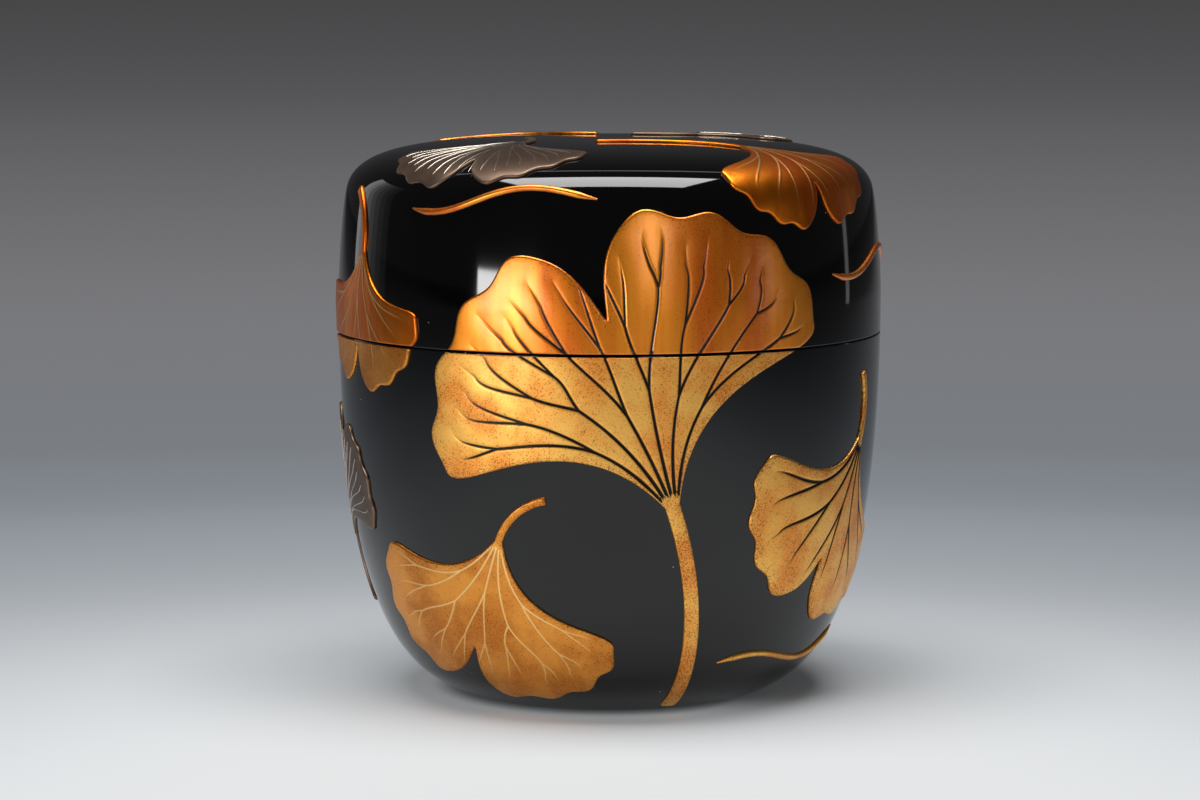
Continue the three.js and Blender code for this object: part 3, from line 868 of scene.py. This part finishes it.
def make_leaf(leaf, shell, veins):
    """One leaf on one shell as a closed mesh, cut at the seam where it crosses it."""
    whole = turn_flat(leaf_outline(leaf), leaf["lean"])
    flat, cuts = cut_to_shell(leaf, shell, whole)
    loop = spaced_loop(flat, outline_step)
    rim_found, edge_found = (
        tree_of(spaced(np.vstack([line, line[:1]]), rim_search_step)) for line in (whole, flat)
    )
    lines = [(turn_flat(line, leaf["lean"]), strength) for line, strength in veins]
    vein_points, vein_strengths = vein_samples(lines)
    vein_found = tree_of(vein_points)
    face_points, faces = face_of(loop, lines, edge_found, vein_found)

    # Heights, from the distances to the rim, to the cuts and to the veins
    edge_distance, _ = nearest(rim_found, face_points)
    edge_distance[edge_distance < on_rim] = 0
    cut_distance = np.full(len(face_points), no_cut)
    for level in cuts:
        cut_distance = np.minimum(cut_distance, np.abs(face_points[:, 1] - level))
    vein_distance, vein_index = nearest(vein_found, face_points)
    heights, vein_mark = leaf_height(
        leaf, edge_distance, cut_distance, vein_distance, vein_strengths[vein_index],
    )

    # The rim goes down to the lacquer, and a coarse underside closes the leaf
    ring = outer_ring(faces)
    under_flat, under_faces, under_number = underside_of(loop, face_points[ring], edge_found)
    all_flat = np.vstack([face_points, under_flat])
    all_heights = np.concatenate([heights, np.full(len(under_flat), -under_depth)])
    base = len(face_points)
    all_faces = [list(face) for face in faces]
    all_faces += [[base + i for i in reversed(face)] for face in under_faces]
    for i, j in ring_edges(len(ring)):
        all_faces.append([ring[j], ring[i], base + under_number[i], base + under_number[j]])
    vertices = leaf["place"](leaf, all_flat, all_heights)
    name = shell + "_" + leaf["name"] + "_relief"
    mesh = bpy.data.meshes.new(name)
    mesh.from_pydata(vertices.tolist(), [], all_faces)
    mesh.shade_smooth()

    # What the materials read: "vein" is how deep a vein is cut, or below 0 how high it stands,
    # and "rim" goes from 1 at the rim to 0 well inside
    padding = np.zeros(len(under_flat))
    for label, values in (("vein", vein_mark), ("rim", np.exp(-edge_distance / rim_reach))):
        stored = mesh.attributes.new(label, "FLOAT", "POINT")
        stored.data.foreach_set("value", np.concatenate([values, padding]).astype(np.float32))
    return new_object(name, mesh)


# Maki-e gold: fine gold powder strewn on wet lacquer, sealed and rubbed down. The grains give a
# satin metal with dark specks where the ground shows through, most of them at the worn rim.
speck_size = 0.2 * mm
cloud_size = 5 * mm
grain_size = 0.1 * mm
powder_relief = 0.02 * mm
rim_wear, worn_specks = 0.5, 0.13
speck_edge, speck_cover = 0.1, 0.75
# How far raised veins are painted towards pale gold, as a painted highlight
rib_painted_highlight = 0.8


def gold_material(
    name, bright, deep, ground, smooth_finish, rough_finish, speck_level, upright_stretch, sealed,
):
    """Gold powder on lacquer; a higher speck level lets less of the ground show through."""
    material, tree, place = new_material(name)
    # On the lid the noise is stretched upright, so the tone runs in streaks of bright and deep gold:
    # painted reflection streaks
    streak_stretch = add_node(tree, "ShaderNodeMapping", {"Vector": place, "Scale": (1, 1, 1 / upright_stretch)})
    vein = add_node(tree, "ShaderNodeAttribute", attribute_name="vein").outputs["Fac"]
    rim = add_node(tree, "ShaderNodeAttribute", attribute_name="rim").outputs["Fac"]
    cloud = add_node(tree, "ShaderNodeTexNoise", {
        "Vector": streak_stretch.outputs["Vector"], "Scale": 1 / cloud_size, "Detail": 4,
    })
    specks = add_node(tree, "ShaderNodeTexNoise", {
        "Vector": place, "Scale": 1 / speck_size, "Detail": 2, "Roughness": 0.7,
    })
    tone_and_painted_streaks = add_node(tree, "ShaderNodeMapRange", {
        "Value": cloud.outputs["Fac"], "From Min": 0.4, "From Max": 0.62,
    })
    gold = add_node(tree, "ShaderNodeMix", {
        0: tone_and_painted_streaks.outputs["Result"], 6: linear(bright), 7: linear(deep),
    }, data_type="RGBA")
    thin = add_node(tree, "ShaderNodeMath", {
        0: rim, 1: rim_wear, 2: cloud.outputs["Fac"],
    }, operation="MULTIPLY_ADD")
    level = add_node(tree, "ShaderNodeMapRange", {
        "Value": thin.outputs[0], "From Min": 0.35, "From Max": 0.9,
        "To Min": speck_level, "To Max": speck_level - worn_specks,
    })
    showing = add_node(tree, "ShaderNodeMath", {
        0: specks.outputs["Fac"], 1: level.outputs["Result"],
    }, operation="SUBTRACT")
    speckled = add_node(tree, "ShaderNodeMapRange", {
        "Value": showing.outputs[0], "From Max": speck_edge, "To Max": speck_cover,
    })
    powdered = add_node(tree, "ShaderNodeMix", {
        0: speckled.outputs["Result"], 6: gold.outputs[2], 7: linear(ground),
    }, data_type="RGBA")
    cut = add_node(tree, "ShaderNodeMapRange", {"Value": vein, "From Min": 0.08, "From Max": 0.4})
    # Raised veins are mixed towards a pale gold: a painted highlight along their ridges
    raised = add_node(tree, "ShaderNodeMapRange", {
        "Value": vein, "From Min": -0.7, "From Max": -0.2, "To Min": rib_painted_highlight, "To Max": 0,
    })
    painted_rib_highlight = add_node(tree, "ShaderNodeMix", {
        0: raised.outputs["Result"], 6: powdered.outputs[2], 7: linear("#ffd68c"),
    }, data_type="RGBA")
    colour = add_node(tree, "ShaderNodeMix", {
        0: cut.outputs["Result"], 6: painted_rib_highlight.outputs[2], 7: linear("#1c120a"),
    }, data_type="RGBA")
    finish = add_node(tree, "ShaderNodeMapRange", {
        "Value": cloud.outputs["Fac"], "From Min": 0.3, "From Max": 0.7,
        "To Min": smooth_finish, "To Max": rough_finish,
    })
    grain = add_node(tree, "ShaderNodeTexNoise", {"Vector": place, "Scale": 1 / grain_size, "Detail": 1})
    rubbed = add_node(tree, "ShaderNodeBump", {
        "Height": grain.outputs["Fac"], "Strength": 0.35, "Distance": powder_relief,
    })
    surface = add_node(tree, "ShaderNodeBsdfPrincipled", {
        "Base Color": colour.outputs[2], "Metallic": 1, "Roughness": finish.outputs["Result"],
        "Normal": rubbed.outputs["Normal"], "Coat Weight": sealed, "Coat Roughness": 0.25,
    })
    add_node(tree, "ShaderNodeOutputMaterial", {"Surface": surface.outputs[0]})
    return material


# Rows as gold_material takes them. The lid's gold is polished, its tone stretched upright into painted
# reflection streaks, and the body's is more matt. Each gold comes as lit and shaded copies: the body's
# paler colours are painted light from the bright table it faces, and the lid's deeper orange is painted
# shade from the dark room.
finishes = {}
for kind, shell, name, colours, values in (
    ("gold", "lid", "polished_gold", ("#ff991d", "#e4710f", "#6b3208"), (0.34, 0.46, 0.65, 10, 0.75)),
    ("gold", "body", "rubbed_gold", ("#ffc15d", "#f8a345", "#7a481a"), (0.44, 0.56, 0.6, 1, 0.3)),
    ("red gold", "lid", "polished_red_gold", ("#f3841a", "#cc5f12", "#5c2c0c"), (0.3, 0.42, 0.7, 10, 0.1)),
    ("red gold", "body", "rubbed_red_gold", ("#ea9c42", "#cf7f30", "#7a3c14"), (0.36, 0.48, 0.62, 1, 0.1)),
):
    finishes[(kind, shell)] = (gold_material(name + "_powder", *colours, *values), "gold_on_" + shell)

# Tin powder under brown lacquer: a dull brown-grey metal with a warm cast and little gloss.
pewter, tree, place = new_material("tin_powder_in_lacquer")
finishes[("pewter", "lid")] = finishes[("pewter", "body")] = (pewter, "pewter")
rim = add_node(tree, "ShaderNodeAttribute", attribute_name="rim").outputs["Fac"]
cloud = add_node(tree, "ShaderNodeTexNoise", {"Vector": place, "Scale": 1 / cloud_size, "Detail": 4})
specks = add_node(tree, "ShaderNodeTexNoise", {"Vector": place, "Scale": 1 / speck_size, "Detail": 2})
base = add_node(tree, "ShaderNodeMix", {
    0: cloud.outputs["Fac"], 6: linear("#6f5b4d"), 7: linear("#503a2b"),
}, data_type="RGBA")
fleck = add_node(tree, "ShaderNodeMapRange", {
    "Value": specks.outputs["Fac"], "From Min": 0.5, "From Max": 0.7, "To Max": 0.6,
})
flecked = add_node(tree, "ShaderNodeMix", {
    0: fleck.outputs["Result"], 6: base.outputs[2], 7: linear("#33261d"),
}, data_type="RGBA")
worn = add_node(tree, "ShaderNodeMix", {
    0: rim, 6: flecked.outputs[2], 7: linear("#7c6655"),
}, data_type="RGBA")
rubbed = add_node(tree, "ShaderNodeBump", {
    "Height": specks.outputs["Fac"], "Strength": 0.4, "Distance": powder_relief,
})
surface = add_node(tree, "ShaderNodeBsdfPrincipled", {
    "Base Color": worn.outputs[2], "Metallic": 0.85, "Roughness": 0.42, "Normal": rubbed.outputs["Normal"],
})
add_node(tree, "ShaderNodeOutputMaterial", {"Surface": surface.outputs[0]})

# turn is degrees round from the front to the right, rise the share of the outline at the joint
# of the stalk, lean degrees clockwise from upright; sizes are in millimetres
great, wide, middle, small = 37.0, 24.0, 18.0, 13.0
thick, thin = 2.0, 1.1
longest, long, short = 34.0, 20.0, 9.0
both, on_body, on_lid = ("body", "lid"), ("body",), ("lid",)
leaf_keys = (
    "name", "shells", "place", "turn", "rise", "lean", "size", "width", "stalk", "bend",
    "finish", "veins", "forks", "cut_veins",
)
leaves = [dict(zip(leaf_keys, row)) for row in (
    ("great_fan", both, to_wall, 13, 0.315, -20, great, thick, longest, -34, "gold", 6, 2, True),
    ("left_fan", both, to_wall, -62, 0.595, -174, middle, thin, short, 60, "red gold", 5, 1, False),
    ("foot_fan", on_body, to_wall, -24, 0.27, -160, wide, thin, short, -60, "red gold", 5, 2, False),
    ("right_fan", on_body, to_wall, 66, 0.37, 205, wide, thin, short, 50, "gold", 5, 1, True),
    ("side_fan", on_body, to_wall, -87, 0.235, 14, middle, thin, short, 50, "pewter", 5, 1, False),
    ("back_fan", both, to_wall, 172, 0.36, 24, wide, thin, long, 40, "gold", 5, 1, True),
    ("far_fan", on_body, to_wall, 122, 0.36, 168, middle, thin, short, -50, "pewter", 5, 1, False),
    ("low_fan", on_body, to_wall, -142, 0.25, 165, small, thin, short, 50, "gold", 4, 1, True),
    ("shoulder_fan", on_lid, to_crown, 48, 0.79, 128, middle, thin, long, 50, "red gold", 5, 1, False),
    ("crown_fan", on_lid, to_crown, -40, 0.84, -152, middle, thin, short, 50, "pewter", 5, 1, False),
    ("rear_fan", on_lid, to_crown, -150, 0.84, -30, middle, thin, short, 50, "gold", 5, 1, True),
    ("top_fan", on_lid, to_crown, 130, 0.86, 60, small, thin, short, -50, "pewter", 4, 1, False),
)]
rng = random.Random(7)
for leaf in leaves:
    veins = vein_lines(leaf, rng)
    for shell in leaf["shells"]:
        piece = make_leaf(leaf, shell, veins)
        finish, slot = finishes[(leaf["finish"], shell)]
        piece.data.materials.append(finish)
        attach(piece, shell)
        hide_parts(shell + "_" + leaf["name"])

# Flowing lines
# Thin lines drawn in thick lacquer and gilded while wet, so they stand up round and taper to
# their ends. They run round the wall between the leaves.
line_steps = 220
line_sink = 0.03

# A round bead along a path, which swells from the tip share of its width to the whole
bead_tree = new_tree("bead_along_a_path", [
    ("Width", "NodeSocketFloat"), ("Tip Share", "NodeSocketFloat"), ("Swell", "NodeSocketFloat"),
    ("Steps", "NodeSocketInt"), ("Sides", "NodeSocketInt"), ("Finish", "NodeSocketMaterial"),
])
given = add_node(bead_tree, "NodeGroupInput")
path = add_node(bead_tree, "GeometryNodeMeshToCurve", {"Mesh": given.outputs["Geometry"]})
even = add_node(bead_tree, "GeometryNodeResampleCurve", {
    "Curve": path.outputs["Curve"], "Count": given.outputs["Steps"],
})
along = add_node(bead_tree, "GeometryNodeSplineParameter").outputs["Factor"]
arch = add_node(bead_tree, "ShaderNodeMath", {0: along, 1: math.pi}, operation="MULTIPLY")
arch = add_node(bead_tree, "ShaderNodeMath", {0: arch.outputs[0]}, operation="SINE")
swell = add_node(bead_tree, "ShaderNodeMath", {
    0: arch.outputs[0], 1: given.outputs["Swell"], 2: given.outputs["Tip Share"],
}, operation="MULTIPLY_ADD")
swell = add_node(bead_tree, "ShaderNodeMath", {0: swell.outputs[0], 1: 1}, operation="MINIMUM")
width = add_node(bead_tree, "ShaderNodeMath", {
    0: swell.outputs[0], 1: given.outputs["Width"],
}, operation="MULTIPLY")
section = add_node(bead_tree, "GeometryNodeCurvePrimitiveCircle", {
    "Resolution": given.outputs["Sides"], "Radius": 0.5,
}, mode="RADIUS")
swept = add_node(bead_tree, "GeometryNodeCurveToMesh", {
    "Curve": even.outputs["Curve"], "Profile Curve": section.outputs["Curve"],
    "Scale": width.outputs[0], "Fill Caps": True,
})
close_tree(bead_tree, swept.outputs["Mesh"], given.outputs["Finish"])

long_line, short_line = 46.0, 26.0
for name, shell, turn, rise, lean, length, swing, waves, phase in (
    ("front_stream", "body", 54, 0.11, -4, short_line, 0.06, 1, 0.1),
    ("left_stream", "lid", -24, 0.665, -4, short_line, 0.05, 1, 0.6),
    ("right_stream", "lid", 73, 0.58, 0, short_line, 0.06, 1, 0.6),
    ("back_stream", "body", -130, 0.43, 6, short_line, 0.06, 1, 0.1),
    ("far_stream", "lid", -136, 0.62, -4, long_line, 0.06, 1.5, 0.1),
):
    along = np.linspace(0, 1, line_steps)
    wave = swing * np.sin(2 * math.pi * (waves * along + phase))
    flat = length * np.stack([along - 0.5, wave], axis=-1)
    vertices = to_wall({"turn": turn, "rise": rise}, turn_flat(flat, lean), -line_sink)
    finish, slot = finishes[("gold", shell)]
    piece = grown(shell + "_" + name + "_line", vertices, chain_edges(line_steps), bead_tree, {
        "Width": 0.9 * mm, "Tip Share": 0.25, "Swell": 2.7, "Steps": line_steps, "Sides": 14,
        "Finish": finish,
    })
    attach(piece, shell)
    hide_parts(shell + "_" + name)

# Silver lines on the pewter leaves
# Each vein of a pewter leaf is a hair line of silver, drawn on top and polished bright. They
# fork like the veins of the gold leaves, only closer together.
hair_rise = 0.03
hair_spacing = 0.5
hair_veins = 9
silver, tree, place = new_material("polished_silver")
tarnish = add_node(tree, "ShaderNodeTexNoise", {"Vector": place, "Scale": 1 / cloud_size, "Detail": 3})
metal = add_node(tree, "ShaderNodeMix", {
    0: tarnish.outputs["Fac"], 6: linear("#e8e0d4"), 7: linear("#9c8d7c"),
}, data_type="RGBA")
surface = add_node(tree, "ShaderNodeBsdfPrincipled", {
    "Base Color": metal.outputs[2], "Metallic": 1, "Roughness": 0.3,
})
add_node(tree, "ShaderNodeOutputMaterial", {"Surface": surface.outputs[0]})
for leaf in leaves:
    if leaf["finish"] != "pewter":
        continue
    shell = leaf["shells"][0]
    vertices, edges = [], []
    for line, _ in vein_lines({**leaf, "veins": hair_veins}, rng):
        flat = turn_flat(spaced(line, hair_spacing), leaf["lean"])
        edges += chain_edges(len(flat), len(vertices))
        vertices += list(leaf["place"](leaf, flat, face_height + swell_height + hair_rise))
    piece = grown(shell + "_" + leaf["name"] + "_silver_lines", vertices, edges, bead_tree, {
        "Width": 0.17 * mm, "Tip Share": 0.5, "Swell": 2.0, "Steps": 26, "Sides": 6,
        "Finish": silver,
    })
    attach(piece, shell)
